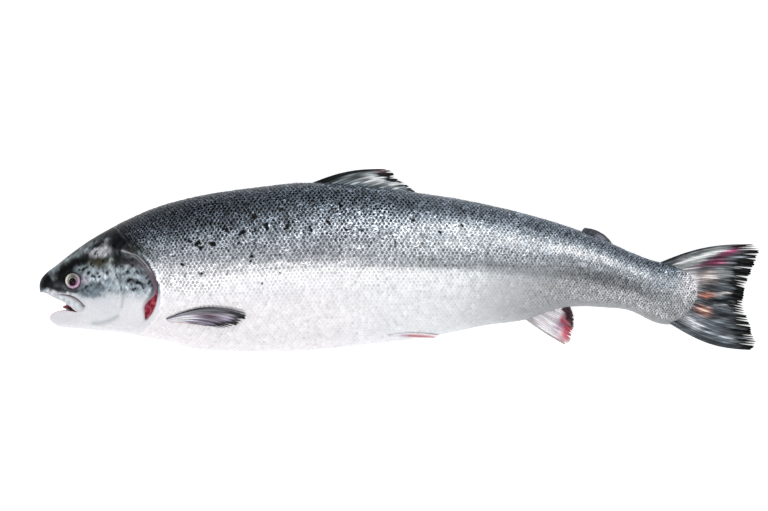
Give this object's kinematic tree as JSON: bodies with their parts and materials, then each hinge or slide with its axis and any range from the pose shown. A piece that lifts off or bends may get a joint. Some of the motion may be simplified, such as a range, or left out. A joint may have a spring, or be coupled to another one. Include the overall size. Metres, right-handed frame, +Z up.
{
  "type": "salmon",
  "caption": "Whole salmon lying on its side, with open mouth, gill covers, fins and forked tail.",
  "frame": {"origin": "middle of the underside of the bounding box, on the surface that the fish lies on", "axes": "+X from the snout to the tail, +Y from the belly to the back, +Z up, through the fish from its right side to its left"},
  "size_m": [0.783, 0.1984, 0.0887],
  "materials": {
    "skin": "wet silver scales, dark on the back and white on the belly",
    "head_plate": "smooth wet skin over bone, silver with dark spots",
    "eye": "clear wet lens over a silver iris and a black pupil",
    "red_flesh": "wet dark red flesh",
    "fin": "thin dark membrane between bony rays"
  },
  "bodies": {
    "root": {"body": "skin", "left_eye": "eye", "right_eye": "eye", "left_gill_cover": "head_plate", "right_gill_cover": "head_plate", "left_gills": "red_flesh", "right_gills": "red_flesh", "left_maxilla": "head_plate", "right_maxilla": "head_plate", "tongue": "red_flesh", "dorsal_fin": "fin", "adipose_fin": "fin", "caudal_fin": "fin", "anal_fin": "fin", "left_pectoral_fin": "fin", "right_pectoral_fin": "fin", "left_pelvic_fin": "fin", "right_pelvic_fin": "fin"}
  },
  "joints": []
}
